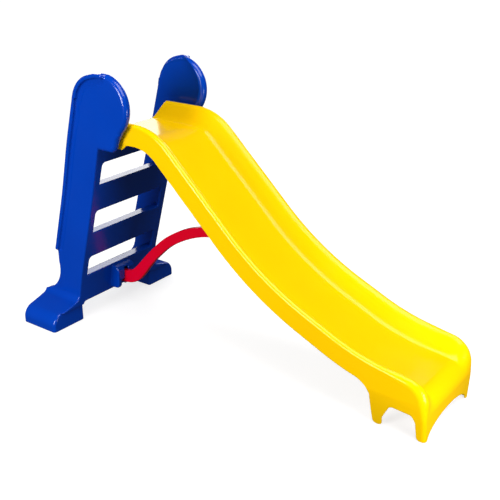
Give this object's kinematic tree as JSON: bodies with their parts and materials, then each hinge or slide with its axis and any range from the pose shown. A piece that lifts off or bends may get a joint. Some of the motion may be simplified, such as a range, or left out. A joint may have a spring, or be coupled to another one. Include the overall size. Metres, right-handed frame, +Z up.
{
  "type": "toddler slide",
  "caption": "Folding toddler slide: blue moulded ladder with rounded handles and splayed feet, yellow curved chute on short legs, red S-shaped brace that unhooks so the ladder folds under.",
  "frame": {"origin": "centre of the footprint, on the floor, with the slide set up for use", "axes": "+X from the ladder to the chute's exit, +Y across the slide, +Z up"},
  "size_m": [1.42, 0.6, 0.871],
  "materials": {
    "blue_plastic": "glossy moulded polyethylene, fine orange-peel",
    "yellow_plastic": "glossy moulded polyethylene, fine orange-peel",
    "red_plastic": "satin-gloss moulded plastic",
    "navy_nylon": "satin nylon",
    "steel": "zinc-plated, brushed"
  },
  "bodies": {
    "chute": {"chute": "yellow_plastic", "brace_hinge_pin": "steel", "brace_hinge_cap": "navy_nylon", "brace_washer_left": "steel", "brace_washer_right": "steel"},
    "ladder": {"ladder": "blue_plastic", "pivot_pin_left": "steel", "pivot_pin_right": "steel", "pivot_washer_left": "navy_nylon", "pivot_washer_right": "navy_nylon", "pivot_cap_left": "navy_nylon", "pivot_cap_right": "navy_nylon"},
    "brace": {"brace": "red_plastic", "latch_pin": "steel", "latch_cap_left": "red_plastic", "latch_cap_right": "red_plastic"}
  },
  "joints": [
    {"name": "ladder_fold", "type": "hinge", "parent": "chute", "child": "ladder", "pos_m": [-0.377, 0, 0.68], "axis": [0, -1, 0], "range_deg": [0, 60]},
    {"name": "brace_swing", "type": "hinge", "parent": "chute", "child": "brace", "pos_m": [0.043, 0, 0.375], "axis": [0, -1, 0], "range_deg": [0, 120]}
  ],
  "couplings": [
    {"joint": "brace_swing", "follows": "ladder_fold", "ratio": 2}
  ]
}
